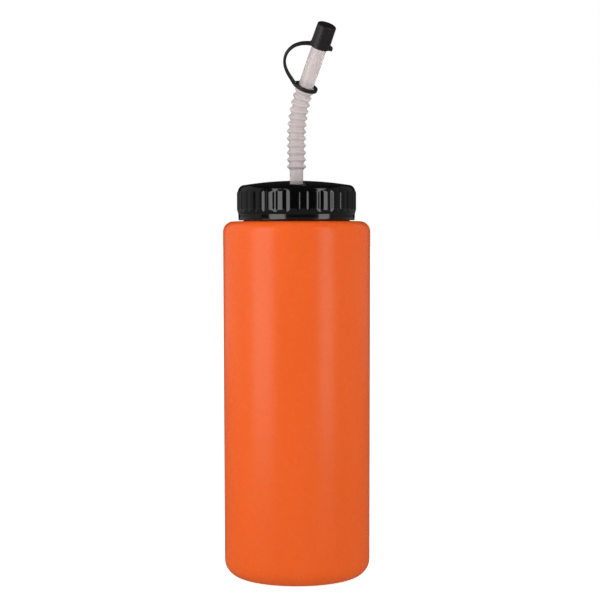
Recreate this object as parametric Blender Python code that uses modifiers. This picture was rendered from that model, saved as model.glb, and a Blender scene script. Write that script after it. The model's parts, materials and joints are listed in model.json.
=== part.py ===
"""Sports squeeze bottle: a round squeeze body, a ribbed screw lid with its gasket, a drinking straw
with a bellows neck, and a tip cap on a tether.

Metres, +Z up, origin at the centre of the base. The straw is one moulding on the real object. Here it
is split at its bellows into rings, so that it can bend, and the tip cap, its strap and its ring are
split in the same way.
"""

import math

import bmesh
import bpy
from mathutils import Matrix, Quaternion, Vector

MM = 0.001
CLEARANCE = 0.3 * MM
MERGE = 0.000001

# Squeeze body
BODY_RADIUS = 41.25 * MM
BASE_RADIUS = 40.95 * MM
BODY_WALL = 1.1 * MM
BODY_STEPS = 48
BASE_CORNER = 9.6 * MM
STANDING_RING_INNER = 26.5 * MM
PUSH_UP = 2.8 * MM
SHOULDER_Z = 199.4 * MM
SHOULDER_CORNER = 5.9 * MM
NECK_FOOT_Z = 199.75 * MM
NECK_TOP_Z = 215.6 * MM
NECK_RADIUS = 29.6 * MM
NECK_WALL = 1.6 * MM

# Screw thread, right-handed
THREAD_PITCH = 4.2 * MM
THREAD_HEIGHT = 1.25 * MM
THREAD_FOOT = 1.6 * MM
THREAD_CREST = 0.8 * MM
THREAD_SINK = 0.4 * MM
THREAD_STEPS = 24
THREAD_RUN_OUT = 0.12
NECK_THREAD_Z = 205.5 * MM
NECK_THREAD_TURNS = 1.25
LID_THREAD_DROP = 1.7 * MM
LID_THREAD_TURNS = 1.0

# Screw lid
LID_Z = 200.1 * MM
LID_HEIGHT = 22.1 * MM
LID_DOME_RADIUS = 180.0 * MM
LID_WALL_RADIUS = 32.95 * MM
LID_BORE_RADIUS = 31.2 * MM
LID_EDGE_WIDTH = 3.6 * MM
LID_EDGE_DEPTH = 4.4 * MM
LID_BAND_RADIUS = 32.6 * MM
LID_BAND_HEIGHT = 4.0 * MM
LID_CHAMFER = 0.4 * MM
LID_ROOF = 1.6 * MM
LID_SEAT_Z = 217.4 * MM
LID_SEAT_INNER = 27.4 * MM
COLLAR_LENGTH = 6.0 * MM
COLLAR_WALL = 1.2 * MM
RIB_COUNT = 33
RIB_PHASE = math.radians(3.9)
RIB_RADIUS = 33.4 * MM
RIB_FOOT_WIDTH = 5.9 * MM
RIB_CREST_WIDTH = 3.0 * MM
RIB_LOW = 4.4 * MM
RIB_HIGH = 15.6 * MM

# Gasket between the neck's rim and the lid
GASKET_OUTER = 30.8 * MM
GASKET_INNER = 28.2 * MM
GASKET_THICKNESS = 1.2 * MM

# Straw
STRAW_STEPS = 20
TUBE_RADIUS = 3.75 * MM
TUBE_BORE = 2.85 * MM
TUBE_FOOT_Z = 9.0 * MM
RIDGE_ONE_Z = 230.0 * MM
RIDGE_PITCH = 3.93 * MM
RIDGE_RADIUS = 5.3 * MM
RIDGE_CREST = 1.0 * MM
VALLEY_RADIUS = 4.05 * MM
BELLOWS_BORE = 3.1 * MM
LINK_GAP = 0.8 * MM
STRAIGHT_RIDGES = 5
BENT_RIDGES = 7
LEAN_AZIMUTH = math.radians(-51.7)
REST_LEAN = math.radians(30.3)
MOUTHPIECE_RADIUS = 4.25 * MM
MOUTHPIECE_BORE = 3.25 * MM
MOUTHPIECE_LENGTH = 40.15 * MM
MOUTHPIECE_LIP = 0.4 * MM

# Closure: tip cap, strap and ring. Heights run along the mouthpiece from its lowest joint.
CAP_RIM = 28.45 * MM
CAP_TOP = 41.9 * MM
CAP_RADIUS = 5.3 * MM
CAP_RIM_RADIUS = 5.45 * MM
CAP_EDGE = 0.9 * MM
CAP_STEPS = 24
CAP_EAR = (2.2 * MM, 2.8 * MM, 2.2 * MM)
CAP_EAR_SINK = 0.3 * MM
RING_HEIGHT = 4.2 * MM
RING_OUTER = 6.4 * MM
RING_INNER = 4.95 * MM
RING_WIDTH = 2.2 * MM
RING_OFFSET = 0.5 * MM
STRAP_THICKNESS = 1.6 * MM
STRAP_WIDTH = 3.4 * MM
STRAP_ROUTE = (
    (6.8, 4.6), (9.2, 6.6), (12.3, 9.4), (14.9, 12.9), (16.1, 16.9),
    (15.7, 20.9), (13.7, 24.6), (10.8, 27.0), (8.2, 28.2), (5.9, 28.9),
)


def clear_scene():
    for item in list(bpy.data.objects):
        bpy.data.objects.remove(item, do_unlink=True)


def collection(name):
    made = bpy.data.collections.new(name)
    bpy.context.scene.collection.children.link(made)
    return made


def plastic(name, color, roughness):
    made = bpy.data.materials.new(name)
    made.use_nodes = True
    shader = made.node_tree.nodes["Principled BSDF"]
    shader.inputs["Base Color"].default_value = (*color, 1.0)
    shader.inputs["Roughness"].default_value = roughness
    shader.inputs["Metallic"].default_value = 0.0
    return made


def add_object(name, mesh, material, group):
    made = bpy.data.objects.new(name, mesh)
    if material:
        mesh.materials.append(material)
    group.objects.link(made)
    return made


def add_cutter(name, mesh, group):
    made = add_object(name, mesh, None, group)
    made.hide_render = True
    made.display_type = "WIRE"
    return made


def arc(center_r, center_z, radius_r, radius_z, start, end, count):
    """Points of an elliptic arc, its ends included, between two angles in degrees."""
    points = []
    for index in range(count):
        angle = math.radians(start + (end - start) * index / (count - 1))
        points.append((center_r + radius_r * math.cos(angle), center_z + radius_z * math.sin(angle)))
    return points


def turned(name, profile, steps, material, group, closed=True):
    """A solid of revolution. The profile runs down its outer side and up its inner side."""
    mesh = bpy.data.meshes.new(name)
    shape = bmesh.new()
    corners = [shape.verts.new((radius, 0.0, height)) for radius, height in profile]
    for first, second in zip(corners, corners[1:]):
        shape.edges.new((first, second))
    if closed:
        shape.edges.new((corners[-1], corners[0]))
    shape.to_mesh(mesh)
    shape.free()
    made = add_object(name, mesh, material, group)
    screw = made.modifiers.new("Turn", "SCREW")
    screw.axis = "Z"
    screw.steps = steps
    screw.render_steps = steps
    screw.use_merge_vertices = True
    screw.merge_threshold = MERGE
    screw.use_smooth_shade = True
    return made


def unite(target, other):
    union = target.modifiers.new("Join " + other.name, "BOOLEAN")
    union.operation = "UNION"
    union.solver = "EXACT"
    union.object = other


def thread_ridge(name, root_radius, crest_radius, start_z, turns, group):
    """A helical ridge of trapezoid section, which fades into its wall at both ends."""
    mesh = bpy.data.meshes.new(name)
    shape = bmesh.new()
    outward = 1.0 if crest_radius > root_radius else -1.0
    foot_radius = root_radius - outward * THREAD_SINK
    count = round(turns * THREAD_STEPS)
    sections = []
    for index in range(count + 1):
        travel = index / count
        rise = min(1.0, travel / THREAD_RUN_OUT, (1.0 - travel) / THREAD_RUN_OUT)
        tip_radius = root_radius + (crest_radius - root_radius) * (0.05 + 0.95 * rise)
        angle = 2.0 * math.pi * index / THREAD_STEPS
        middle = start_z + THREAD_PITCH * index / THREAD_STEPS
        corners = (
            (foot_radius, middle + THREAD_FOOT / 2),
            (tip_radius, middle + THREAD_CREST / 2),
            (tip_radius, middle - THREAD_CREST / 2),
            (foot_radius, middle - THREAD_FOOT / 2),
        )
        section = []
        for radius, height in corners:
            place = (radius * math.cos(angle), radius * math.sin(angle), height)
            section.append(shape.verts.new(place))
        sections.append(section)
    for first, second in zip(sections, sections[1:]):
        for side in range(4):
            after = (side + 1) % 4
            shape.faces.new((first[side], first[after], second[after], second[side]))
    shape.faces.new(sections[0])
    shape.faces.new(sections[-1])
    bmesh.ops.recalc_face_normals(shape, faces=shape.faces)
    shape.to_mesh(mesh)
    shape.free()
    return add_cutter(name, mesh, group)


def bottle_profile():
    """The body's wall, from the inside of its floor over the rim and down to the base's centre."""
    inner_corner = BASE_CORNER - BODY_WALL
    inner_base = BASE_RADIUS - BODY_WALL
    inner_body = BODY_RADIUS - BODY_WALL
    inner_neck = NECK_RADIUS - NECK_WALL
    floor = BODY_WALL
    inner_shoulder = SHOULDER_CORNER - BODY_WALL
    inside = [
        (0.0, floor + PUSH_UP),
        (STANDING_RING_INNER * 0.6, floor + PUSH_UP * 0.75),
        (STANDING_RING_INNER, floor),
    ]
    inside += arc(inner_base - inner_corner, floor + inner_corner, inner_corner, inner_corner, -90, 0, 4)
    inside += arc(
        inner_body - inner_shoulder, SHOULDER_Z - SHOULDER_CORNER, inner_shoulder, inner_shoulder, 0, 90, 3
    )
    inside += [
        (inner_neck, NECK_FOOT_Z - BODY_WALL),
        (inner_neck, NECK_TOP_Z),
    ]
    outside = [
        (NECK_RADIUS, NECK_TOP_Z),
        (NECK_RADIUS, NECK_FOOT_Z),
    ]
    outside += arc(
        BODY_RADIUS - SHOULDER_CORNER, SHOULDER_Z - SHOULDER_CORNER, SHOULDER_CORNER, SHOULDER_CORNER, 90, 0, 5
    )
    outside += arc(BASE_RADIUS - BASE_CORNER, BASE_CORNER, BASE_CORNER, BASE_CORNER, 0, -90, 6)
    outside += [
        (STANDING_RING_INNER, 0.0),
        (STANDING_RING_INNER * 0.6, PUSH_UP * 0.75),
        (0.0, PUSH_UP),
    ]
    return inside + outside


def make_bottle(material, group, cutters):
    body = turned("bottle_body", bottle_profile(), BODY_STEPS, material, group, closed=False)
    ridge = thread_ridge(
        "neck_thread", NECK_RADIUS, NECK_RADIUS + THREAD_HEIGHT, NECK_THREAD_Z, NECK_THREAD_TURNS, cutters
    )
    unite(body, ridge)
    return body


def dome_height(radius):
    """Height of the lid's outer dome above the lid's lower edge."""
    return LID_HEIGHT - radius * radius / (2.0 * LID_DOME_RADIUS)


def lid_profile():
    """The lid's section: dome, rounded edge, wall and band outside, then bore, seat and collar."""
    hole = TUBE_RADIUS + CLEARANCE
    edge_center = LID_WALL_RADIUS - LID_EDGE_WIDTH
    edge_z = LID_Z + dome_height(edge_center) - LID_EDGE_DEPTH
    outside = [
        (hole, LID_Z + dome_height(hole)),
        (edge_center * 0.55, LID_Z + dome_height(edge_center * 0.55)),
    ]
    outside += arc(edge_center, edge_z, LID_EDGE_WIDTH, LID_EDGE_DEPTH, 90, 0, 5)
    outside += [
        (LID_WALL_RADIUS, LID_Z + LID_BAND_HEIGHT + LID_CHAMFER),
        (LID_BAND_RADIUS, LID_Z + LID_BAND_HEIGHT),
        (LID_BAND_RADIUS, LID_Z + LID_CHAMFER),
        (LID_BAND_RADIUS - LID_CHAMFER, LID_Z),
    ]
    collar = hole + COLLAR_WALL
    inside = [
        (LID_BORE_RADIUS, LID_Z),
        (LID_BORE_RADIUS, LID_SEAT_Z),
        (LID_SEAT_INNER, LID_SEAT_Z),
        (LID_SEAT_INNER - LID_ROOF, LID_Z + dome_height(LID_SEAT_INNER) - LID_ROOF),
        (collar, LID_Z + LID_HEIGHT - LID_ROOF),
        (collar, LID_Z + LID_HEIGHT - COLLAR_LENGTH),
        (hole, LID_Z + LID_HEIGHT - COLLAR_LENGTH),
    ]
    return outside + inside


def lid_ribs(group):
    """Upright grip ribs, each a bar that is narrower and shorter at its crest than at its foot."""
    mesh = bpy.data.meshes.new("lid_ribs")
    shape = bmesh.new()
    foot_radius = (LID_BORE_RADIUS + LID_WALL_RADIUS) / 2
    slope = RIB_RADIUS - LID_WALL_RADIUS
    for index in range(RIB_COUNT):
        bar = bmesh.ops.create_cube(shape, size=1.0)["verts"]
        for corner in bar:
            at_crest = corner.co.x > 0
            width = RIB_CREST_WIDTH if at_crest else RIB_FOOT_WIDTH
            top = RIB_HIGH if at_crest else RIB_HIGH + slope
            low = RIB_LOW
            corner.co.y = math.copysign(width / 2, corner.co.y)
            corner.co.z = LID_Z + (top if corner.co.z > 0 else low)
            corner.co.x = RIB_RADIUS if at_crest else foot_radius
        turn = Matrix.Rotation(RIB_PHASE + 2.0 * math.pi * index / RIB_COUNT, 3, "Z")
        bmesh.ops.rotate(shape, verts=bar, cent=(0, 0, 0), matrix=turn)
    shape.to_mesh(mesh)
    shape.free()
    return add_cutter("lid_ribs", mesh, group)


def make_lid(material, group, cutters):
    lid = turned("screw_lid", lid_profile(), BODY_STEPS, material, group)
    unite(lid, lid_ribs(cutters))
    ridge = thread_ridge(
        "lid_thread",
        LID_BORE_RADIUS,
        LID_BORE_RADIUS - THREAD_HEIGHT,
        NECK_THREAD_Z - LID_THREAD_DROP,
        LID_THREAD_TURNS,
        cutters,
    )
    unite(lid, ridge)
    return lid


def make_gasket(material, group):
    low = NECK_TOP_Z + CLEARANCE
    high = low + GASKET_THICKNESS
    profile = [(GASKET_OUTER, high), (GASKET_OUTER, low), (GASKET_INNER, low), (GASKET_INNER, high)]
    return turned("lid_gasket", profile, BODY_STEPS, material, group)


def lean_direction(angle):
    """Unit vector of the straw's axis where it leans by this angle."""
    flat = math.sin(angle)
    return Vector((flat * math.cos(LEAN_AZIMUTH), flat * math.sin(LEAN_AZIMUTH), math.cos(angle)))


def lean_axis():
    """The level axis about which every bellows joint turns."""
    return Vector((-math.sin(LEAN_AZIMUTH), math.cos(LEAN_AZIMUTH), 0.0))


def ridge_lean(index):
    """Rest lean of a ridge, counted from 1: the lower ridges stand straight, the upper ones curve."""
    return REST_LEAN * max(0, index - STRAIGHT_RIDGES) / BENT_RIDGES


def link_pivot(index):
    """The joint just below a ridge, on the straw's axis."""
    pivot = Vector((0.0, 0.0, RIDGE_ONE_Z - RIDGE_PITCH / 2))
    for below in range(1, index):
        pivot += lean_direction(ridge_lean(below)) * RIDGE_PITCH
    return pivot


def ridge_points(middle):
    """A ridge's outer side, from top to bottom."""
    reach = (RIDGE_PITCH - LINK_GAP) / 2
    return [
        (VALLEY_RADIUS, middle + reach),
        (RIDGE_RADIUS, middle + RIDGE_CREST / 2),
        (RIDGE_RADIUS, middle - RIDGE_CREST / 2),
        (VALLEY_RADIUS, middle - reach),
    ]


def make_straw_tube(material, group):
    pivot = link_pivot(1).z
    top = pivot - LINK_GAP / 2
    profile = [(TUBE_RADIUS, top), (TUBE_RADIUS, TUBE_FOOT_Z), (TUBE_BORE, TUBE_FOOT_Z), (TUBE_BORE, top)]
    return turned("straw_lower_tube", profile, STRAW_STEPS, material, group)


def make_bellows(material, group):
    count = STRAIGHT_RIDGES + BENT_RIDGES - 1
    middle = RIDGE_PITCH / 2
    low = LINK_GAP / 2
    high = RIDGE_PITCH - LINK_GAP / 2
    profile = ridge_points(middle) + [(BELLOWS_BORE, low), (BELLOWS_BORE, high)]
    for index in range(1, count + 1):
        ring = turned("bellows_ring_%02d" % index, profile, STRAW_STEPS, material, group)
        ring.location = link_pivot(index)
        ring.rotation_mode = "QUATERNION"
        ring.rotation_quaternion = Quaternion(lean_axis(), ridge_lean(index))


def mouthpiece_frame():
    """Local frame of the mouthpiece: Z along it, X to the side away from the strap."""
    along = lean_direction(REST_LEAN)
    side = Vector((1.0, 0.0, 0.0)).cross(along).cross(along) * -1.0
    side.normalize()
    turn = Matrix((side, along.cross(side), along)).transposed()
    return Matrix.Translation(link_pivot(STRAIGHT_RIDGES + BENT_RIDGES)) @ turn.to_4x4()


def make_mouthpiece(material, group):
    low = LINK_GAP / 2
    profile = [
        (MOUTHPIECE_RADIUS - MOUTHPIECE_LIP, MOUTHPIECE_LENGTH),
        (MOUTHPIECE_RADIUS, MOUTHPIECE_LENGTH - MOUTHPIECE_LIP),
    ]
    profile += [(MOUTHPIECE_RADIUS, RIDGE_PITCH - LINK_GAP)]
    profile += ridge_points(RIDGE_PITCH / 2)[1:]
    profile += [(BELLOWS_BORE, low), (MOUTHPIECE_BORE, RIDGE_PITCH), (MOUTHPIECE_BORE, MOUTHPIECE_LENGTH)]
    mouthpiece = turned("straw_mouthpiece", profile, STRAW_STEPS, material, group)
    mouthpiece.matrix_world = mouthpiece_frame()
    return mouthpiece


def make_tether_ring(material, group):
    """The ring hangs a little off the mouthpiece's axis, away from the strap."""
    pivot = bpy.data.objects.new("tether_pivot", None)
    group.objects.link(pivot)
    pivot.matrix_world = mouthpiece_frame()
    low = RING_HEIGHT - RING_WIDTH / 2
    high = RING_HEIGHT + RING_WIDTH / 2
    profile = [(RING_OUTER, high), (RING_OUTER, low), (RING_INNER, low), (RING_INNER, high)]
    ring = turned("tether_ring", profile, CAP_STEPS, material, group)
    ring.parent = pivot
    ring.location = (RING_OFFSET, 0.0, 0.0)
    return ring


def make_strap(material, group):
    """A flat flexible strap that bows out on one side, from the ring to the tip cap."""
    curve = bpy.data.curves.new("tether_strap", "CURVE")
    curve.dimensions = "3D"
    curve.fill_mode = "FULL"
    curve.twist_mode = "Z_UP"
    curve.resolution_u = 3
    curve.bevel_resolution = 1
    curve.bevel_depth = STRAP_THICKNESS / 2
    curve.extrude = (STRAP_WIDTH - STRAP_THICKNESS) / 2
    curve.use_fill_caps = True
    spline = curve.splines.new("BEZIER")
    spline.bezier_points.add(len(STRAP_ROUTE) - 1)
    for point, (out, height) in zip(spline.bezier_points, STRAP_ROUTE):
        point.co = (out * MM, height * MM, 0.0)
        point.handle_left_type = "AUTO"
        point.handle_right_type = "AUTO"
    strap = add_object("tether_strap", curve, material, group)
    frame = mouthpiece_frame()
    side, across, along = (frame.to_3x3().col[index] for index in range(3))
    turn = Matrix((-side, along, across)).transposed()
    strap.matrix_world = Matrix.Translation(frame.translation) @ turn.to_4x4()
    return strap


def cap_ear(group):
    """The pull tab on the cap's rim, opposite the strap."""
    length, width, height = CAP_EAR
    mesh = bpy.data.meshes.new("cap_ear")
    shape = bmesh.new()
    tab = bmesh.ops.create_cube(shape, size=1.0)["verts"]
    bmesh.ops.scale(shape, verts=tab, vec=(length, width, height))
    middle = CAP_RIM_RADIUS + length / 2 - CAP_EAR_SINK
    bmesh.ops.translate(shape, verts=tab, vec=(middle, 0.0, CAP_RIM + height / 2))
    shape.to_mesh(mesh)
    shape.free()
    ear = add_cutter("cap_ear", mesh, group)
    ear.matrix_world = mouthpiece_frame()
    return ear


def make_tip_cap(material, group, cutters):
    bore = MOUTHPIECE_RADIUS + CLEARANCE
    roof = MOUTHPIECE_LENGTH + CLEARANCE
    profile = [(0.0, CAP_TOP)]
    profile += arc(CAP_RADIUS - CAP_EDGE, CAP_TOP - CAP_EDGE, CAP_EDGE, CAP_EDGE, 90, 0, 4)
    profile += [(CAP_RIM_RADIUS, CAP_RIM), (bore, CAP_RIM), (bore, roof), (0.0, roof)]
    cap = turned("tip_cap", profile, CAP_STEPS, material, group, closed=False)
    cap.matrix_world = mouthpiece_frame()
    unite(cap, cap_ear(cutters))
    return cap


def build():
    clear_scene()
    parts = collection("squeeze_bottle")
    cutters = collection("cutters")
    orange = plastic("orange_squeeze_plastic", (0.87, 0.14, 0.026), 0.38)
    black = plastic("black_lid_plastic", (0.008, 0.008, 0.009), 0.16)
    clear = plastic("clear_straw_plastic", (0.62, 0.55, 0.54), 0.32)
    charcoal = plastic("charcoal_soft_plastic", (0.03, 0.026, 0.028), 0.45)
    seal = plastic("pale_gasket_foam", (0.78, 0.78, 0.76), 0.7)
    make_bottle(orange, parts, cutters)
    make_lid(black, parts, cutters)
    make_gasket(seal, parts)
    make_straw_tube(clear, parts)
    make_bellows(clear, parts)
    make_mouthpiece(clear, parts)
    make_tether_ring(charcoal, parts)
    make_strap(charcoal, parts)
    make_tip_cap(charcoal, parts, cutters)


build()
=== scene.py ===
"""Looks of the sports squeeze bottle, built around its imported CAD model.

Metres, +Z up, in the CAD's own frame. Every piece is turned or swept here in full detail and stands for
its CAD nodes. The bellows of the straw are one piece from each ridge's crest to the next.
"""

import json
import math

import bmesh
import bpy
from mathutils import Matrix, Quaternion, Vector

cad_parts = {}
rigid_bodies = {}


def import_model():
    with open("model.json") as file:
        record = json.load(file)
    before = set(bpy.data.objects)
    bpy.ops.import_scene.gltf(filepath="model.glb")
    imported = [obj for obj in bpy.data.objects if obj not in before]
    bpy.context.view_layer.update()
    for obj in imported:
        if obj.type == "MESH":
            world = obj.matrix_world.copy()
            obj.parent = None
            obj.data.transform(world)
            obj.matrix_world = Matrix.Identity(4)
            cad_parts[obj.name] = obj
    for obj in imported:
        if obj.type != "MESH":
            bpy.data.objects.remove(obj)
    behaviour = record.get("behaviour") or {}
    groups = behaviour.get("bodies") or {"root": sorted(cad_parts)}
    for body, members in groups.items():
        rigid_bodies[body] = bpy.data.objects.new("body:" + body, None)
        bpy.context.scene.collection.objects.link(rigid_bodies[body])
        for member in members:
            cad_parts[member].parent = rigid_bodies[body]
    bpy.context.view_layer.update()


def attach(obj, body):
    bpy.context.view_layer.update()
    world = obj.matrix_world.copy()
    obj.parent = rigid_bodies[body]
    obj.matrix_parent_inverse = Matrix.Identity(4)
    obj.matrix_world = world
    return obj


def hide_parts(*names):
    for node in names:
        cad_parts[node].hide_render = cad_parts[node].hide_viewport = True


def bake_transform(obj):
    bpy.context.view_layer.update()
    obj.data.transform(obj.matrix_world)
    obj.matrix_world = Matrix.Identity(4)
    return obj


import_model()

MM = 0.001
TURN = 2.0 * math.pi
POLE = 0.01 * MM
SHARP_ANGLE = math.radians(50)

# Squeeze body
BODY_RADIUS = 41.25 * MM
BASE_RADIUS = 40.95 * MM
BODY_WALL = 1.1 * MM
BODY_COLUMNS = 240
BASE_CORNER = 9.6 * MM
STANDING_RING_INNER = 26.5 * MM
PUSH_UP = 2.8 * MM
SHOULDER_Z = 199.4 * MM
SHOULDER_CORNER = 5.9 * MM
NECK_FOOT_Z = 199.75 * MM
NECK_TOP_Z = 215.6 * MM
NECK_RADIUS = 29.6 * MM
NECK_WALL = 1.6 * MM
NECK_EDGE = 0.5 * MM
PUSH_UP_BEND_RADIUS = 0.6 * STANDING_RING_INNER
PUSH_UP_BEND_Z = 0.75 * PUSH_UP
PUSH_UP_FILLET = 30.0 * MM
PARTING_WIDTH = 0.45 * MM
PARTING_HEIGHT = 0.07 * MM
PINCH_WIDTH = 1.1 * MM
PINCH_HEIGHT = 0.5 * MM
PINCH_FADE = 0.3 * STANDING_RING_INNER
INSIDE_ROW = 8.0 * MM
OUTSIDE_ROW = 5.0 * MM

# Screw thread, right-handed
THREAD_PITCH = 4.2 * MM
THREAD_HEIGHT = 1.25 * MM
THREAD_FOOT = 1.6 * MM
THREAD_CREST = 0.8 * MM
THREAD_RUN_OUT = 0.12
THREAD_ROW = 0.4 * MM
NECK_THREAD_Z = 205.5 * MM
NECK_THREAD_TURNS = 1.25
LID_THREAD_DROP = 1.7 * MM
LID_THREAD_TURNS = 1.0

# Screw lid, heights from its lower edge
LID_Z = 200.1 * MM
LID_HEIGHT = 22.1 * MM
LID_DOME_RADIUS = 180.0 * MM
LID_WALL_RADIUS = 32.95 * MM
LID_BORE_RADIUS = 31.2 * MM
LID_EDGE_WIDTH = 3.6 * MM
LID_EDGE_DEPTH = 4.4 * MM
LID_BAND_RADIUS = 32.6 * MM
LID_BAND_HEIGHT = 4.0 * MM
LID_STEP = 1.4 * MM
LID_BAND_FOOT = 1.6 * MM
LID_FOOT_RADIUS = 32.4 * MM
LID_FOOT_EDGE = 0.3 * MM
LID_HOLE_LIP = 0.35 * MM
LID_ROOF = 1.6 * MM
LID_ROOF_FILLET = 0.6 * MM
LID_ROOF_ROW = 4.0 * MM
LID_SEAT = 17.3 * MM
LID_SEAT_INNER = 27.4 * MM
COLLAR_LENGTH = 6.0 * MM
COLLAR_WALL = 1.2 * MM
RIB_COUNT = 33
RIB_PHASE = math.radians(3.9)
RIB_HEIGHT = 0.42 * MM
RIB_SHOULDER = 0.65
RIB_LOW = 4.4 * MM
RIB_LOW_FADE = 1.4 * MM
RIB_HIGH = 16.6 * MM
RIB_HIGH_FADE = 1.2 * MM
RIB_ROW = 0.4 * MM
RIB_COLUMNS = 14

# Gasket between the neck's rim and the lid
GASKET_OUTER = 30.8 * MM
GASKET_INNER = 28.2 * MM
GASKET_LOW = 215.9 * MM
GASKET_HIGH = 217.1 * MM
GASKET_EDGE = 0.3 * MM

# Straw
STRAW_COLUMNS = 64
STRAW_WALL = 0.6 * MM
CLEARANCE = 0.3 * MM
TUBE_RADIUS = 3.75 * MM
TUBE_FOOT_Z = 9.0 * MM
SPIN_GAP = 0.02 * MM
TUBE_TOP_Z = 228.05 * MM
TUBE_EDGE = 0.2 * MM
TUBE_ROW = 10.0 * MM
RIDGE_ONE_Z = 230.0 * MM
RIDGE_PITCH = 3.93 * MM
RIDGE_RADIUS = 5.3 * MM
VALLEY_RADIUS = 4.05 * MM
RIDGE_ROWS = 14
CREST_ROW = 0.012
STRAIGHT_RIDGES = 5
BENT_RIDGES = 7
LEAN_AZIMUTH = math.radians(-51.7)
REST_LEAN = math.radians(30.3)
MOUTHPIECE_RADIUS = 4.25 * MM
MOUTHPIECE_LENGTH = 40.15 * MM
MOUTHPIECE_ROW = 4.0 * MM

# Closure, heights along the mouthpiece from its lowest joint
CLOSURE_COLUMNS = 96
CAP_RIM = 28.45 * MM
CAP_TOP = 41.85 * MM
CAP_RADIUS = 5.3 * MM
CAP_RIM_RADIUS = 5.45 * MM
CAP_EDGE = 0.9 * MM
CAP_BORE = 4.55 * MM
CAP_ROOF = 40.45 * MM
CAP_ROW = 0.35 * MM
EAR_REACH = 1.8 * MM
EAR_HALF_WIDTH = 1.9 * MM
EAR_HEIGHT = 2.9 * MM
EAR_SIDE_SLOPE = 1.6
EAR_TOP_SLOPE = 2.2
RING_HEIGHT = 4.2 * MM
RING_OUTER = 6.4 * MM
RING_INNER = 4.95 * MM
RING_WIDTH = 2.2 * MM
RING_OFFSET = 0.5 * MM
RING_OUTER_EDGE = 0.55 * MM
RING_INNER_EDGE = 0.5 * MM
RING_ROOT_ANGLE = math.radians(38)
STRAP_THICKNESS = 1.6 * MM
STRAP_END_THICKNESS = 2.3 * MM
STRAP_WIDTH = 3.4 * MM
STRAP_ROUTE = (
    (5.4, 3.9), (6.8, 4.6), (9.2, 6.6), (12.3, 9.4), (14.9, 12.9), (16.1, 16.9),
    (15.7, 20.9), (13.7, 24.6), (10.8, 27.0), (8.2, 28.2), (5.9, 28.9), (5.0, 29.0),
)
STRAP_STEPS = 10
STRAP_SIDES = 24
STRAP_SQUARENESS = 3.2
STRAP_FLARE = 1.2 * MM
STRAP_FLARE_LENGTH = 3.0 * MM
STRAP_LOOK_AHEAD = 0.05
STRAP_ROOT_HALF_WIDTH = 0.95 * STRAP_WIDTH
STRAP_ROOT_HEIGHT = 0.85 * MM
STRAP_ROOT_HALF_HEIGHT = 1.9 * MM
STRAP_ROOT_RISE = 0.6 * STRAP_FLARE
STRAP_BEND_START = 5.4 * MM
STRAP_BEND_END = 28.2 * MM

# Textures, whose values lie mostly between these two
TEXTURE_LOW = 0.3
TEXTURE_HIGH = 0.7

# Studio, in metres. The lens and the sensor are in Blender's millimetres.
CAMERA_DISTANCE = 0.9545
CAMERA_HEIGHT = 0.2001
CAMERA_PITCH = math.radians(3.083)
CAMERA_ROLL = math.radians(-0.1)
CAMERA_LENS = 102.1
CAMERA_SENSOR = 36.0
CAMERA_SHIFT = (0.0054, 0.02)
FLOOR_HALF = 12.0
LIGHTS = (
    # name, azimuth from the camera in degrees, distance, width, height, radiance, lights the lid
    ("left_softbox", -52.5, 0.60, 0.37, 0.70, 2.1, False),
    ("right_softbox", 45.5, 0.60, 0.22, 0.70, 2.1, False),
    ("left_lid_softbox", -38.0, 0.60, 0.34, 0.70, 1.7, True),
    ("right_lid_softbox", 54.0, 0.60, 0.24, 0.70, 1.7, True),
    ("left_panel", -110.0, 1.20, 1.80, 1.20, 0.35, False),
    ("right_panel", 110.0, 1.20, 1.80, 1.20, 0.20, False),
    ("left_lid_panel", -110.0, 1.20, 1.80, 1.20, 0.16, True),
    ("right_lid_panel", 110.0, 1.20, 1.80, 1.20, 0.09, True),
)
LIGHT_LOW = 0.005

# Brightness of the world to each kind of ray, by the height of its direction from -1 to 1
WHITE = ((-1.0, 1.0), (1.0, 1.0))
AMBIENT = ((-1.0, 0.68), (1.0, 0.68))
MIRRORED = ((-1.0, 0.12), (-0.08, 0.12), (0.0, 0.007), (1.0, 0.035))
SEEN_THROUGH = ((-1.0, 0.4), (-0.6, 0.4), (-0.25, 1.0), (0.25, 1.0), (0.6, 0.4), (1.0, 0.4))


# Meshes

def smoothstep(value):
    value = min(1.0, max(0.0, value))
    return value * value * (3.0 - 2.0 * value)


def spaced(first, last, count):
    return [first + (last - first) * index / (count - 1) for index in range(count)]


def filleted(corners, points=6):
    """Section points through open (radius, height, fillet) corners, each rounded by its fillet."""
    section = []
    for index, (radius, height, fillet) in enumerate(corners):
        corner = Vector((radius, height))
        if fillet == 0.0:
            section.append((radius, height))
            continue
        before = (Vector(corners[index - 1][:2]) - corner).normalized()
        after = (Vector(corners[index + 1][:2]) - corner).normalized()
        half = before.angle(after) / 2
        center = corner + (before + after).normalized() * fillet / math.sin(half)
        first = corner + before * fillet / math.tan(half) - center
        last = corner + after * fillet / math.tan(half) - center
        start = math.atan2(first.y, first.x)
        sweep = (math.atan2(last.y, last.x) - start + math.pi) % TURN - math.pi
        for angle in spaced(start, start + sweep, points + 1):
            section.append((center.x + fillet * math.cos(angle), center.y + fillet * math.sin(angle)))
    return section


def split(section, longest):
    """The section with every longer span cut into spans of about this length."""
    finer = [section[0]]
    for first, last in zip(section, section[1:]):
        span = math.dist(first, last)
        pieces = max(1, round(span / longest))
        for step in range(1, pieces + 1):
            share = step / pieces
            finer.append((first[0] + (last[0] - first[0]) * share, first[1] + (last[1] - first[1]) * share))
    return finer


def even_angles(count):
    return [TURN * index / count for index in range(count)]


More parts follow.
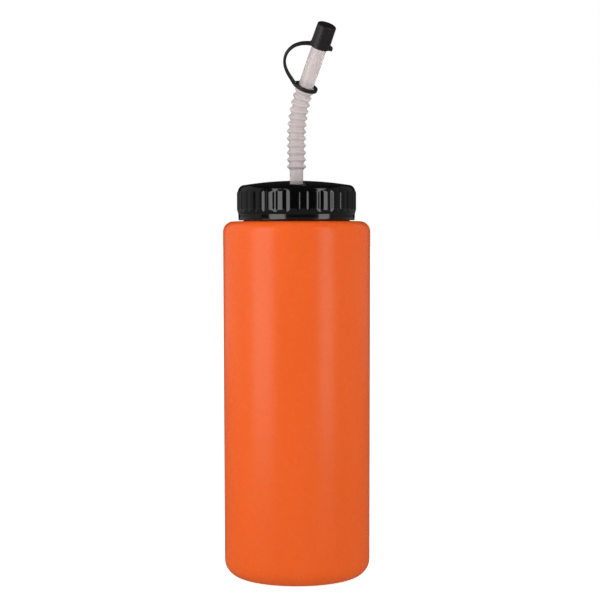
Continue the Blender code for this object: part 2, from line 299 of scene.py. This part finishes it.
def finish_mesh(name, shape, material):
    mesh = bpy.data.meshes.new(name)
    shape.to_mesh(mesh)
    shape.free()
    mesh.materials.append(material)
    mesh.shade_smooth()
    mesh.set_sharp_from_angle(angle=SHARP_ANGLE)
    made = bpy.data.objects.new(name, mesh)
    bpy.context.scene.collection.objects.link(made)
    return made


def skin(shape, rings, closed):
    """Faces between rings of points. The rings run down an outer side, and up an inner one."""
    spans = list(zip(rings, rings[1:]))
    if closed:
        spans.append((rings[-1], rings[0]))
    for upper, lower in spans:
        for index in range(len(upper)):
            after = (index + 1) % len(upper)
            corners = dict.fromkeys((upper[index], lower[index], lower[after], upper[after]))
            if len(corners) > 2:
                shape.faces.new(list(corners))


def lathe(name, section, angles, material, reshape=None, closed=True):
    """A turned piece. Its section runs down the outer side and up the inner one."""
    shape = bmesh.new()
    rings = []
    for radius, height in section:
        if radius < POLE:
            rings.append([shape.verts.new((0.0, 0.0, height))] * len(angles))
            continue
        ring = []
        for angle in angles:
            far, high = reshape(angle, radius, height) if reshape else (radius, height)
            ring.append(shape.verts.new((far * math.cos(angle), far * math.sin(angle), high)))
        rings.append(ring)
    skin(shape, rings, closed)
    return finish_mesh(name, shape, material)


def stand_in(piece, body, slot, *nodes):
    """The piece rides on a body and takes the place of CAD nodes."""
    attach(piece, body)
    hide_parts(*nodes)


def thread_rise(angle, height, start_z, turns):
    """How far a thread's ridge stands out of its wall at this point, from 0 to 1."""
    best = 0.0
    for lap in range(math.ceil(turns)):
        travel = angle / TURN + lap
        if travel > turns:
            continue
        fade = min(1.0, travel / turns / THREAD_RUN_OUT, (1.0 - travel / turns) / THREAD_RUN_OUT)
        off = abs(height - start_z - THREAD_PITCH * travel)
        flank = (THREAD_FOOT / 2 - off) / (THREAD_FOOT / 2 - THREAD_CREST / 2)
        best = max(best, smoothstep(fade) * smoothstep(flank))
    return best


# Squeeze body

def body_angles():
    """Even columns, and close ones where the mould's halves met."""
    near = [width / BODY_RADIUS for width in (0.0, PARTING_WIDTH / 2, PARTING_WIDTH, 2 * PARTING_WIDTH)]
    close = [seam + sign * step for seam in (0.0, math.pi) for step in near for sign in (1.0, -1.0)]
    spare = 3 * PARTING_WIDTH / BODY_RADIUS
    even = [a for a in even_angles(BODY_COLUMNS) if min(abs(a - s) for s in (0.0, math.pi, TURN)) > spare]
    return sorted({round(angle % TURN, 7) for angle in even + close})


def reshape_body(angle, radius, height):
    """Adds the neck's thread and the weld under the base, and sinks the wall beside the parting line."""
    outside_neck = abs(radius - NECK_RADIUS) < POLE and height > NECK_FOOT_Z
    if outside_neck:
        rise = thread_rise(angle, height, NECK_THREAD_Z, NECK_THREAD_TURNS)
        return radius + rise * THREAD_HEIGHT, height
    across = abs(radius * math.sin(angle))
    outside_wall = radius > BODY_RADIUS - BODY_WALL / 2
    if outside_wall:
        return radius - PARTING_HEIGHT * smoothstep(across / PARTING_WIDTH), height
    under_base = height < PUSH_UP + POLE and radius < STANDING_RING_INNER
    if under_base:
        lift = smoothstep((STANDING_RING_INNER - radius) / PINCH_FADE)
        weld = smoothstep(1.0 - across / PINCH_WIDTH) * lift
        return radius, max(0.0, height - PINCH_HEIGHT * weld)
    return radius, height


def body_section():
    """From the inside of the floor up to the rim, then down the outside to the base's centre."""
    wall = BODY_WALL
    neck_inner = NECK_RADIUS - NECK_WALL
    inside = filleted([
        (0.0, wall + PUSH_UP, 0.0),
        (PUSH_UP_BEND_RADIUS, wall + PUSH_UP_BEND_Z, PUSH_UP_FILLET),
        (STANDING_RING_INNER, wall, 6 * MM),
        (BASE_RADIUS - wall, wall, BASE_CORNER - wall),
        (BODY_RADIUS - wall, SHOULDER_Z - wall, SHOULDER_CORNER - wall),
        (neck_inner, NECK_FOOT_Z - wall, 0.8 * MM),
        (neck_inner, NECK_TOP_Z, NECK_EDGE),
        (NECK_RADIUS, NECK_TOP_Z, 0.0),
    ], points=8)[:-1]
    neck = filleted([
        (neck_inner, NECK_TOP_Z, 0.0),
        (NECK_RADIUS, NECK_TOP_Z, NECK_EDGE),
        (NECK_RADIUS, NECK_FOOT_Z, 0.6 * MM),
        (BODY_RADIUS, SHOULDER_Z, 0.0),
    ])[1:-1]
    outside = filleted([
        (NECK_RADIUS, NECK_FOOT_Z, 0.0),
        (BODY_RADIUS, SHOULDER_Z, SHOULDER_CORNER),
        (BASE_RADIUS, 0.0, BASE_CORNER),
        (STANDING_RING_INNER, 0.0, 4 * MM),
        (PUSH_UP_BEND_RADIUS, PUSH_UP_BEND_Z, PUSH_UP_FILLET),
        (0.0, PUSH_UP, 0.0),
    ], points=14)[1:]
    return split(inside, INSIDE_ROW) + split(neck, THREAD_ROW) + split(outside, OUTSIDE_ROW)


def make_body(material):
    body = lathe("squeeze_body", body_section(), body_angles(), material, reshape_body, closed=False)
    stand_in(body, "bottle", "squeeze_body", "bottle_body")


# Screw lid

def dome_height(radius):
    return LID_HEIGHT - radius * radius / (2.0 * LID_DOME_RADIUS)


def lid_angles():
    count = RIB_COUNT * RIB_COLUMNS
    return sorted((RIB_PHASE + angle) % TURN for angle in even_angles(count))


def rib_rise(angle, height):
    """How far a grip rib stands out of the lid's wall, from 0 to 1: a wide bar with round shoulders."""
    share = (angle - RIB_PHASE) * RIB_COUNT / TURN
    across = abs(share - round(share)) * 2.0
    side = (1.0 - across) / RIB_SHOULDER
    low = (height - RIB_LOW) / RIB_LOW_FADE
    high = (RIB_HIGH - height) / RIB_HIGH_FADE
    return smoothstep(side) * smoothstep(low) * smoothstep(high)


def reshape_lid(angle, radius, height):
    """Adds the ribs outside and the thread inside."""
    if radius > LID_WALL_RADIUS - LID_EDGE_WIDTH and LID_BAND_HEIGHT < height < RIB_HIGH:
        return radius + RIB_HEIGHT * rib_rise(angle, height), height
    if abs(radius - LID_BORE_RADIUS) < POLE:
        start = NECK_THREAD_Z - LID_THREAD_DROP - LID_Z
        return radius - THREAD_HEIGHT * thread_rise(angle, height, start, LID_THREAD_TURNS), height
    return radius, height


def lid_section():
    """From the hole over the dome and down the wall, then up the bore and back along the roof."""
    hole = TUBE_RADIUS + CLEARANCE
    lip = LID_HOLE_LIP
    edge_center = LID_WALL_RADIUS - LID_EDGE_WIDTH
    edge_z = dome_height(edge_center) - LID_EDGE_DEPTH
    dome = [(hole, dome_height(hole) - lip), (hole + 0.3 * lip, dome_height(hole) - 0.3 * lip)]
    dome += [(radius, dome_height(radius)) for radius in spaced(hole + lip, edge_center, 14)[:-1]]
    edge = []
    for angle in spaced(math.pi / 2, 0.0, 12):
        edge.append((
            edge_center + LID_EDGE_WIDTH * math.cos(angle),
            edge_z + LID_EDGE_DEPTH * math.sin(angle),
        ))
    step_top = LID_BAND_HEIGHT + LID_STEP / 2
    wall = split([(LID_WALL_RADIUS, edge_z), (LID_WALL_RADIUS, step_top + LID_STEP)], RIB_ROW)[1:]
    band = filleted([
        (LID_WALL_RADIUS, step_top + LID_STEP, 0.0),
        (LID_WALL_RADIUS, step_top, LID_STEP),
        (LID_BAND_RADIUS, LID_BAND_HEIGHT - LID_STEP / 2, LID_STEP),
        (LID_BAND_RADIUS, LID_BAND_FOOT, 2.0 * MM),
        (LID_FOOT_RADIUS, 0.0, 0.4 * MM),
        (LID_BORE_RADIUS, 0.0, LID_FOOT_EDGE),
        (LID_BORE_RADIUS, LID_SEAT, 0.0),
    ], points=5)[1:-1]
    bore = split([(LID_BORE_RADIUS, 2 * LID_FOOT_EDGE), (LID_BORE_RADIUS, LID_SEAT)], THREAD_ROW)
    collar = hole + COLLAR_WALL
    roof = filleted([
        (LID_BORE_RADIUS, LID_SEAT, 0.0),
        (LID_SEAT_INNER, LID_SEAT, 0.3 * MM),
        (LID_SEAT_INNER - LID_ROOF, dome_height(LID_SEAT_INNER) - LID_ROOF, LID_ROOF_FILLET),
        (collar, LID_HEIGHT - LID_ROOF, LID_ROOF_FILLET),
        (collar, LID_HEIGHT - COLLAR_LENGTH, 0.3 * MM),
        (hole, LID_HEIGHT - COLLAR_LENGTH, 0.0),
    ])[1:]
    return dome + edge + wall + band + bore + split(roof, LID_ROOF_ROW)


def make_lid(material):
    lid = lathe("ribbed_lid", lid_section(), lid_angles(), material, reshape_lid)
    lid.location.z = LID_Z
    stand_in(lid, "lid", "lid", "screw_lid")


def make_gasket(material):
    middle = (GASKET_LOW + GASKET_HIGH) / 2
    section = filleted([
        (GASKET_OUTER, middle, 0.0),
        (GASKET_OUTER, GASKET_LOW, GASKET_EDGE),
        (GASKET_INNER, GASKET_LOW, GASKET_EDGE),
        (GASKET_INNER, GASKET_HIGH, GASKET_EDGE),
        (GASKET_OUTER, GASKET_HIGH, GASKET_EDGE),
        (GASKET_OUTER, middle, 0.0),
    ])[:-1]
    gasket = lathe("gasket_ring", section, even_angles(BODY_COLUMNS // 2), material)
    stand_in(gasket, "gasket", "gasket", "lid_gasket")


# Straw

def lean_direction(angle):
    """Unit vector of the straw's axis where it leans by this angle."""
    flat = math.sin(angle)
    return Vector((flat * math.cos(LEAN_AZIMUTH), flat * math.sin(LEAN_AZIMUTH), math.cos(angle)))


def lean_axis():
    """The level axis about which the bellows bend."""
    return Vector((-math.sin(LEAN_AZIMUTH), math.cos(LEAN_AZIMUTH), 0.0))


def ridge_lean(index):
    """Rest lean of a ridge, counted from 1."""
    return REST_LEAN * max(0, index - STRAIGHT_RIDGES) / BENT_RIDGES


def link_pivot(index):
    """The joint just below a ridge, on the straw's axis."""
    pivot = Vector((0.0, 0.0, RIDGE_ONE_Z - RIDGE_PITCH / 2))
    for below in range(1, index):
        pivot += lean_direction(ridge_lean(below)) * RIDGE_PITCH
    return pivot


def crest_center(index):
    return link_pivot(index) + lean_direction(ridge_lean(index)) * RIDGE_PITCH / 2


def wave(share, crest, valley):
    """A radius that swings from a crest at 0 to a valley at a half and to the next crest at 1."""
    return valley + (crest - valley) * (0.5 + 0.5 * math.cos(TURN * share))


def half_ridge(foot_radius, foot_z, crest_z, wall):
    """Points from a tube's end to the middle of the ridge that starts there."""
    points = []
    for share in spaced(0.5, 1.0, RIDGE_ROWS // 2 + 1)[:-1] + [1.0 - CREST_ROW, 1.0]:
        height = foot_z + (crest_z - foot_z) * (share - 0.5) * 2.0
        points.append((wave(share, RIDGE_RADIUS, foot_radius) - wall, height))
    return points


def make_lower_tube(material):
    inner = TUBE_RADIUS - STRAW_WALL
    section = filleted([
        (TUBE_RADIUS, TUBE_TOP_Z, 0.0),
        (TUBE_RADIUS, TUBE_FOOT_Z, TUBE_EDGE),
        (inner, TUBE_FOOT_Z, TUBE_EDGE),
        (inner, TUBE_TOP_Z, 0.0),
    ])
    rows = split(section, TUBE_ROW)
    tube = lathe("straw_tube_wall", rows, even_angles(STRAW_COLUMNS), material, closed=False)
    stand_in(tube, "straw_tube", "straw", "straw_lower_tube")


def make_first_crest(material):
    """The lower half of the first ridge. It turns on the tube's end, just clear of it."""
    angles = even_angles(STRAW_COLUMNS)
    foot_z = TUBE_TOP_Z + SPIN_GAP
    outside = half_ridge(TUBE_RADIUS, foot_z, RIDGE_ONE_Z, 0.0)
    inside = half_ridge(TUBE_RADIUS, foot_z, RIDGE_ONE_Z, STRAW_WALL)
    shape = bmesh.new()
    for side in (list(reversed(outside)), inside):
        rings = []
        for radius, height in side:
            ring = [shape.verts.new((radius * math.cos(a), radius * math.sin(a), height)) for a in angles]
            rings.append(ring)
        skin(shape, rings, False)
    crest = finish_mesh("bellows_foot", shape, material)
    stand_in(crest, "bellows_01", "straw", "bellows_ring_01")


def bellows_ring(shape, index, share, wall):
    """A ring of points between the crest of one ridge (0) and the next one's (1)."""
    start, bend, end = crest_center(index), link_pivot(index + 1), crest_center(index + 1)
    center = start.lerp(bend, share).lerp(bend.lerp(end, share), share)
    lean = ridge_lean(index) + (ridge_lean(index + 1) - ridge_lean(index)) * share
    turn = Quaternion(lean_axis(), lean)
    radius = wave(share, RIDGE_RADIUS, VALLEY_RADIUS) - wall
    ring = []
    for angle in even_angles(STRAW_COLUMNS):
        spoke = Vector((radius * math.cos(angle), radius * math.sin(angle), 0.0))
        ring.append(shape.verts.new(center + turn @ spoke))
    return ring


def make_bellows(material):
    """One piece from each crest to the next."""
    last = STRAIGHT_RIDGES + BENT_RIDGES - 1
    for index in range(1, last + 1):
        shape = bmesh.new()
        shares = [0.0, CREST_ROW] + spaced(0.0, 1.0, RIDGE_ROWS + 1)[1:-1] + [1.0 - CREST_ROW, 1.0]
        skin(shape, [bellows_ring(shape, index, share, 0.0) for share in reversed(shares)], False)
        skin(shape, [bellows_ring(shape, index, share, STRAW_WALL) for share in shares], False)
        fold = finish_mesh("bellows_fold_%02d" % index, shape, material)
        start, end = crest_center(index), crest_center(index + 1)
        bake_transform(fold)
        if index > 1:
            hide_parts("bellows_ring_%02d" % index)


def mouthpiece_frame():
    """Local frame of the mouthpiece: Z along it, X to the side away from the strap."""
    along = lean_direction(REST_LEAN)
    side = Vector((1.0, 0.0, 0.0)).cross(along).cross(along) * -1.0
    side.normalize()
    turn = Matrix((side, along.cross(side), along)).transposed()
    return Matrix.Translation(link_pivot(STRAIGHT_RIDGES + BENT_RIDGES)) @ turn.to_4x4()


def make_mouthpiece(material):
    inner = MOUTHPIECE_RADIUS - STRAW_WALL
    crest_z = RIDGE_PITCH / 2
    outside = half_ridge(MOUTHPIECE_RADIUS, RIDGE_PITCH, crest_z, 0.0)
    inside = half_ridge(MOUTHPIECE_RADIUS, RIDGE_PITCH, crest_z, STRAW_WALL)
    tip = filleted([
        (inner, RIDGE_PITCH, 0.0),
        (inner, MOUTHPIECE_LENGTH, 0.25 * MM),
        (MOUTHPIECE_RADIUS, MOUTHPIECE_LENGTH, 0.3 * MM),
        (MOUTHPIECE_RADIUS, RIDGE_PITCH, 0.0),
    ])[1:-1]
    section = list(reversed(inside)) + split(tip, MOUTHPIECE_ROW) + outside
    piece = lathe("mouthpiece_wall", section, even_angles(STRAW_COLUMNS), material, closed=False)
    piece.data.transform(mouthpiece_frame() @ mouthpiece_spin())
    stand_in(piece, "mouthpiece", "straw", "straw_mouthpiece")


def mouthpiece_spin():
    """Turns the mouthpiece's columns in line with those of the bellows."""
    turn = Quaternion(lean_axis(), REST_LEAN).to_matrix()
    local = mouthpiece_frame().to_3x3().transposed() @ turn
    return local.to_4x4()


# Closure

def around(angle, middle):
    """Signed angle from a middle one, within half a turn."""
    return (angle - middle + math.pi) % TURN - math.pi


def reshape_cap(angle, radius, height):
    """Adds the pull ear on one side of the rim, and the strap's root on the other."""
    if radius < CAP_BORE + POLE:
        return radius, height
    ear_across = abs(around(angle, 0.0)) * CAP_RIM_RADIUS / EAR_HALF_WIDTH
    ear_up = (height - CAP_RIM) / EAR_HEIGHT
    ear = smoothstep((1.0 - ear_across) * EAR_SIDE_SLOPE) * smoothstep((1.0 - ear_up) * EAR_TOP_SLOPE)
    root_across = abs(around(angle, math.pi)) * CAP_RIM_RADIUS / STRAP_ROOT_HALF_WIDTH
    root_up = abs(height - CAP_RIM - STRAP_ROOT_HEIGHT) / STRAP_ROOT_HALF_HEIGHT
    root = smoothstep(1.0 - root_across) * smoothstep(1.0 - root_up)
    return radius + EAR_REACH * ear + STRAP_ROOT_RISE * root, height


def make_cap(material):
    middle = CAP_BORE - 1.0 * MM
    section = filleted([
        (0.0, CAP_TOP, 0.0),
        (CAP_RADIUS, CAP_TOP, CAP_EDGE),
        (CAP_RIM_RADIUS, CAP_RIM, 0.25 * MM),
        (CAP_BORE, CAP_RIM, 0.15 * MM),
        (CAP_BORE, CAP_ROOF, 0.4 * MM),
        (middle, CAP_ROOF, 0.0),
        (0.0, CAP_ROOF, 0.0),
    ], points=8)
    rows = split(section, CAP_ROW)
    cap = lathe("strap_cap", rows, even_angles(CLOSURE_COLUMNS), material, reshape_cap, closed=False)
    cap.data.transform(mouthpiece_frame())
    stand_in(cap, "cap", "closure", "tip_cap")


def reshape_ring(angle, radius, height):
    """Draws the ring out to one side, where the strap grows from it."""
    if radius < (RING_OUTER + RING_INNER) / 2:
        return radius, height
    root = smoothstep(1.0 - abs(around(angle, math.pi)) / RING_ROOT_ANGLE)
    return radius + STRAP_FLARE * root, height


def make_ring(material):
    low = -RING_WIDTH / 2
    high = RING_WIDTH / 2
    middle = (RING_INNER + RING_OUTER) / 2
    section = filleted([
        (middle, high, 0.0),
        (RING_OUTER, high, RING_OUTER_EDGE),
        (RING_OUTER, low, RING_OUTER_EDGE),
        (RING_INNER, low, RING_INNER_EDGE),
        (RING_INNER, high, RING_INNER_EDGE),
        (middle, high, 0.0),
    ])[:-1]
    ring = lathe("tether_loop", section, even_angles(CLOSURE_COLUMNS), material, reshape_ring)
    ring.data.transform(mouthpiece_frame() @ Matrix.Translation((RING_OFFSET, 0.0, RING_HEIGHT)))
    stand_in(ring, "tether", "closure", "tether_ring")


def route_point(position):
    """A smooth curve through the strap's route, as (out, height), at a position counted in its points."""
    index = min(int(position), len(STRAP_ROUTE) - 2)
    share = position - index
    near = [STRAP_ROUTE[min(max(index + step, 0), len(STRAP_ROUTE) - 1)] for step in (-1, 0, 1, 2)]
    a, b, c, d = (Vector(point) * MM for point in near)
    linear = (c - a) * share
    square = (2 * a - 5 * b + 4 * c - d) * share ** 2
    cube = (3 * b - a - 3 * c + d) * share ** 3
    return b + (linear + square + cube) / 2


def strap_outline(thickness, width):
    """The strap's cross-section, a flat oblong with well rounded corners."""
    outline = []
    for angle in even_angles(STRAP_SIDES):
        cosine, sine = math.cos(angle), math.sin(angle)
        reach = (abs(cosine) ** STRAP_SQUARENESS + abs(sine) ** STRAP_SQUARENESS) ** (-1 / STRAP_SQUARENESS)
        outline.append((cosine * reach * thickness / 2, sine * reach * width / 2))
    return outline


def make_strap(material):
    shape = bmesh.new()
    count = (len(STRAP_ROUTE) - 1) * STRAP_STEPS
    rings = []
    for step in range(count + 1):
        position = step / STRAP_STEPS
        place = route_point(position)
        ahead = route_point(min(position + STRAP_LOOK_AHEAD, len(STRAP_ROUTE) - 1))
        behind = route_point(max(position - STRAP_LOOK_AHEAD, 0.0))
        along = (ahead - behind).normalized()
        normal = Vector((-along.y, along.x))
        from_ring = (place - route_point(0.0)).length
        toward_end = (2.0 * step / count - 1.0) ** 2
        thickness = STRAP_THICKNESS + (STRAP_END_THICKNESS - STRAP_THICKNESS) * toward_end
        width = STRAP_WIDTH + (RING_WIDTH - STRAP_WIDTH) * smoothstep(1.0 - from_ring / STRAP_FLARE_LENGTH)
        ring = []
        for off, across in strap_outline(thickness, width):
            spot = place + normal * off
            ring.append(shape.verts.new((-spot.x, across, spot.y)))
        rings.append(ring)
    skin(shape, rings, False)
    shape.faces.new(rings[0])
    shape.faces.new(list(reversed(rings[-1])))
    bmesh.ops.recalc_face_normals(shape, faces=shape.faces)
    strap = finish_mesh("tether_band", shape, material)
    strap.data.transform(mouthpiece_frame())
    start = mouthpiece_frame() @ Vector((0.0, 0.0, STRAP_BEND_START))
    end = mouthpiece_frame() @ Vector((0.0, 0.0, STRAP_BEND_END))
    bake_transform(strap)
    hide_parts("tether_strap")


# Materials

class Finish:
    """A procedural material in the piece's own coordinates, in metres."""

    def __init__(self, name, **settings):
        self.material = bpy.data.materials.new(name)
        self.material.use_nodes = True
        self.tree = self.material.node_tree
        self.shader = self.tree.nodes["Principled BSDF"]
        self.normal = None
        for socket, value in settings.items():
            self.shader.inputs[socket.replace("_", " ")].default_value = value

    def noise(self, size, detail=3.0, stretch=(1.0, 1.0, 1.0)):
        """Noise with features of about this size."""
        place = self.tree.nodes.new("ShaderNodeTexCoord")
        scale = self.tree.nodes.new("ShaderNodeMapping")
        scale.inputs["Scale"].default_value = [1.0 / (size * factor) for factor in stretch]
        texture = self.tree.nodes.new("ShaderNodeTexNoise")
        texture.inputs["Scale"].default_value = 1.0
        texture.inputs["Detail"].default_value = detail
        self.tree.links.new(place.outputs["Object"], scale.inputs["Vector"])
        self.tree.links.new(scale.outputs["Vector"], texture.inputs["Vector"])
        return texture.outputs["Fac"]

    def cells(self, size):
        """Small round cells of about this size."""
        place = self.tree.nodes.new("ShaderNodeTexCoord")
        texture = self.tree.nodes.new("ShaderNodeTexVoronoi")
        texture.inputs["Scale"].default_value = 1.0 / size
        self.tree.links.new(place.outputs["Object"], texture.inputs["Vector"])
        return texture.outputs["Distance"]

    def range(self, value, socket, low, high):
        """Drives a number of the shader by a texture."""
        between = self.tree.nodes.new("ShaderNodeMapRange")
        between.inputs["From Min"].default_value = TEXTURE_LOW
        between.inputs["From Max"].default_value = TEXTURE_HIGH
        between.inputs["To Min"].default_value = low
        between.inputs["To Max"].default_value = high
        self.tree.links.new(value, between.inputs["Value"])
        self.tree.links.new(between.outputs["Result"], self.shader.inputs[socket])

    def tint(self, value, first, second):
        """Varies the base colour by a texture."""
        ramp = self.tree.nodes.new("ShaderNodeValToRGB")
        ramp.color_ramp.elements[0].position = TEXTURE_LOW
        ramp.color_ramp.elements[0].color = (*first, 1.0)
        ramp.color_ramp.elements[1].position = TEXTURE_HIGH
        ramp.color_ramp.elements[1].color = (*second, 1.0)
        self.tree.links.new(value, ramp.inputs["Fac"])
        self.tree.links.new(ramp.outputs["Color"], self.shader.inputs["Base Color"])

    def bump(self, value, distance):
        """Adds relief. The distance is its height in metres."""
        relief = self.tree.nodes.new("ShaderNodeBump")
        relief.inputs["Distance"].default_value = distance
        self.tree.links.new(value, relief.inputs["Height"])
        if self.normal:
            self.tree.links.new(self.normal, relief.inputs["Normal"])
        self.normal = relief.outputs["Normal"]
        self.tree.links.new(self.normal, self.shader.inputs["Normal"])


def orange_plastic():
    finish = Finish(
        "orange_squeeze_plastic",
        IOR=1.5,
        Specular_IOR_Level=0.35,
        Subsurface_Weight=0.2,
        Subsurface_Radius=(1.0, 0.35, 0.1),
        Subsurface_Scale=1.5 * MM,
    )
    finish.tint(finish.noise(18 * MM, stretch=(1, 1, 3)), (0.86, 0.116, 0.010), (0.89, 0.124, 0.013))
    finish.range(finish.noise(6 * MM, detail=5.0), "Roughness", 0.25, 0.29)
    finish.bump(finish.noise(9 * MM, stretch=(1, 1, 4)), 0.05 * MM)
    finish.bump(finish.noise(0.35 * MM, detail=4.0), 0.006 * MM)
    return finish.material


def black_plastic():
    finish = Finish("black_lid_plastic", IOR=1.8)
    finish.tint(finish.noise(7 * MM), (0.0006, 0.0006, 0.0008), (0.0012, 0.0012, 0.0015))
    finish.range(finish.noise(1.6 * MM, detail=5.0), "Roughness", 0.09, 0.14)
    finish.bump(finish.noise(2.5 * MM), 0.02 * MM)
    finish.bump(finish.noise(0.3 * MM, detail=4.0), 0.002 * MM)
    return finish.material


def straw_plastic():
    finish = Finish("frosted_straw_plastic", IOR=1.46, Transmission_Weight=0.60)
    finish.tint(finish.noise(3 * MM, stretch=(1, 1, 5)), (0.87, 0.80, 0.79), (0.93, 0.86, 0.85))
    finish.range(finish.noise(1.2 * MM, detail=4.0), "Roughness", 0.16, 0.22)
    finish.bump(finish.noise(1.5 * MM, stretch=(1, 1, 6)), 0.01 * MM)
    return finish.material


def charcoal_plastic():
    finish = Finish("charcoal_soft_plastic", IOR=1.5)
    finish.tint(finish.noise(0.9 * MM, detail=5.0), (0.008, 0.006, 0.007), (0.020, 0.016, 0.018))
    finish.range(finish.noise(0.7 * MM, detail=5.0), "Roughness", 0.30, 0.50)
    finish.bump(finish.noise(1.3 * MM), 0.16 * MM)
    finish.bump(finish.noise(0.25 * MM, detail=4.0), 0.015 * MM)
    return finish.material


def gasket_foam():
    finish = Finish("pale_gasket_foam", IOR=1.45)
    finish.tint(finish.noise(1.0 * MM, detail=5.0), (0.70, 0.70, 0.67), (0.80, 0.80, 0.77))
    finish.range(finish.noise(0.6 * MM), "Roughness", 0.6, 0.8)
    finish.bump(finish.cells(0.35 * MM), 0.03 * MM)
    return finish.material


def pale_floor():
    finish = Finish("pale_floor", Emission_Color=(1.0, 1.0, 1.0, 1.0), Emission_Strength=0.8)
    finish.tint(finish.noise(400 * MM), (0.80, 0.80, 0.80), (0.82, 0.82, 0.82))
    finish.range(finish.noise(60 * MM), "Roughness", 0.85, 0.95)
    return finish.material


# Studio

def make_camera():
    camera = bpy.data.objects.new("camera", bpy.data.cameras.new("camera"))
    bpy.context.scene.collection.objects.link(camera)
    camera.data.sensor_width = CAMERA_SENSOR
    camera.data.lens = CAMERA_LENS
    camera.data.shift_x, camera.data.shift_y = CAMERA_SHIFT
    pitch = Matrix.Rotation(math.pi / 2 - CAMERA_PITCH, 4, "X")
    roll = Matrix.Rotation(CAMERA_ROLL, 4, "Z")
    camera.matrix_world = Matrix.Translation((0.0, -CAMERA_DISTANCE, CAMERA_HEIGHT)) @ pitch @ roll
    bpy.context.scene.camera = camera


def make_floor():
    shape = bmesh.new()
    corners = [(-1, -1), (1, -1), (1, 1), (-1, 1)]
    shape.faces.new([shape.verts.new((x * FLOOR_HALF, y * FLOOR_HALF, 0.0)) for x, y in corners])
    floor = finish_mesh("floor", shape, pale_floor())
    floor.visible_diffuse = False
    floor.visible_glossy = False


def make_light(name, azimuth, distance, width, height, radiance, lights_lid):
    """A soft rectangular light that faces the bottle. It lights the lid alone, or all but the lid."""
    light = bpy.data.lights.new(name, "AREA")
    light.shape = "RECTANGLE"
    light.size = width
    light.size_y = height
    light.energy = radiance * math.pi * width * height
    lamp = bpy.data.objects.new(name, light)
    bpy.context.scene.collection.objects.link(lamp)
    angle = math.radians(azimuth)
    place = Vector((distance * math.sin(angle), -distance * math.cos(angle), 0.0))
    lamp.location = (place.x, place.y, LIGHT_LOW + height / 2)
    lamp.rotation_mode = "QUATERNION"
    lamp.rotation_quaternion = (-place).to_track_quat("-Z", "Y")
    lamp.visible_camera = False
    lamp.visible_transmission = False
    receivers = bpy.data.collections.new(name + "_receivers")
    for piece in bpy.context.scene.objects:
        if piece.type == "MESH" and (piece.name == "ribbed_lid") == lights_lid:
            receivers.objects.link(piece)
    lamp.light_linking.receiver_collection = receivers


def by_height(tree, place, levels):
    """A world's brightness by the height of a direction."""
    parts = tree.nodes.new("ShaderNodeSeparateXYZ")
    tree.links.new(place.outputs["Generated"], parts.inputs["Vector"])
    share = tree.nodes.new("ShaderNodeMapRange")
    share.inputs["From Min"].default_value = -1.0
    tree.links.new(parts.outputs["Z"], share.inputs["Value"])
    ramp = tree.nodes.new("ShaderNodeValToRGB")
    elements = ramp.color_ramp.elements
    while len(elements) < len(levels):
        elements.new(0.5)
    for element, (height, value) in zip(elements, levels):
        element.position = (height + 1.0) / 2
        element.color = (value, value, value, 1.0)
    tree.links.new(share.outputs["Result"], ramp.inputs["Fac"])
    return ramp.outputs["Color"]


def make_world():
    """White to the eye. The plastics mirror a dim room, and the straw shows white only near the level."""
    world = bpy.data.worlds.new("studio")
    world.use_nodes = True
    bpy.context.scene.world = world
    tree = world.node_tree
    tree.nodes.clear()
    place = tree.nodes.new("ShaderNodeTexCoord")
    path = tree.nodes.new("ShaderNodeLightPath")
    background = tree.nodes.new("ShaderNodeBackground")
    background.inputs["Color"].default_value = (1.0, 1.0, 1.0, 1.0)
    total = None
    rays = (
        ("Is Camera Ray", WHITE),
        ("Is Diffuse Ray", AMBIENT),
        ("Is Glossy Ray", MIRRORED),
        ("Is Transmission Ray", SEEN_THROUGH),
    )
    for ray, levels in rays:
        add = tree.nodes.new("ShaderNodeMath")
        add.operation = "MULTIPLY_ADD"
        add.inputs[2].default_value = 0.0
        tree.links.new(path.outputs[ray], add.inputs[0])
        tree.links.new(by_height(tree, place, levels), add.inputs[1])
        if total:
            tree.links.new(total, add.inputs[2])
        total = add.outputs["Value"]
    output = tree.nodes.new("ShaderNodeOutputWorld")
    tree.links.new(total, background.inputs["Strength"])
    tree.links.new(background.outputs["Background"], output.inputs["Surface"])


def make_studio():
    make_camera()
    make_floor()
    make_world()
    for light in LIGHTS:
        make_light(*light)
    bpy.context.scene.view_settings.view_transform = "Standard"
    bpy.context.scene.view_settings.look = "None"


def make_bottle():
    straw = straw_plastic()
    charcoal = charcoal_plastic()
    make_body(orange_plastic())
    make_lid(black_plastic())
    make_gasket(gasket_foam())
    make_lower_tube(straw)
    make_first_crest(straw)
    make_bellows(straw)
    make_mouthpiece(straw)
    make_ring(charcoal)
    make_strap(charcoal)
    make_cap(charcoal)


make_bottle()
make_studio()
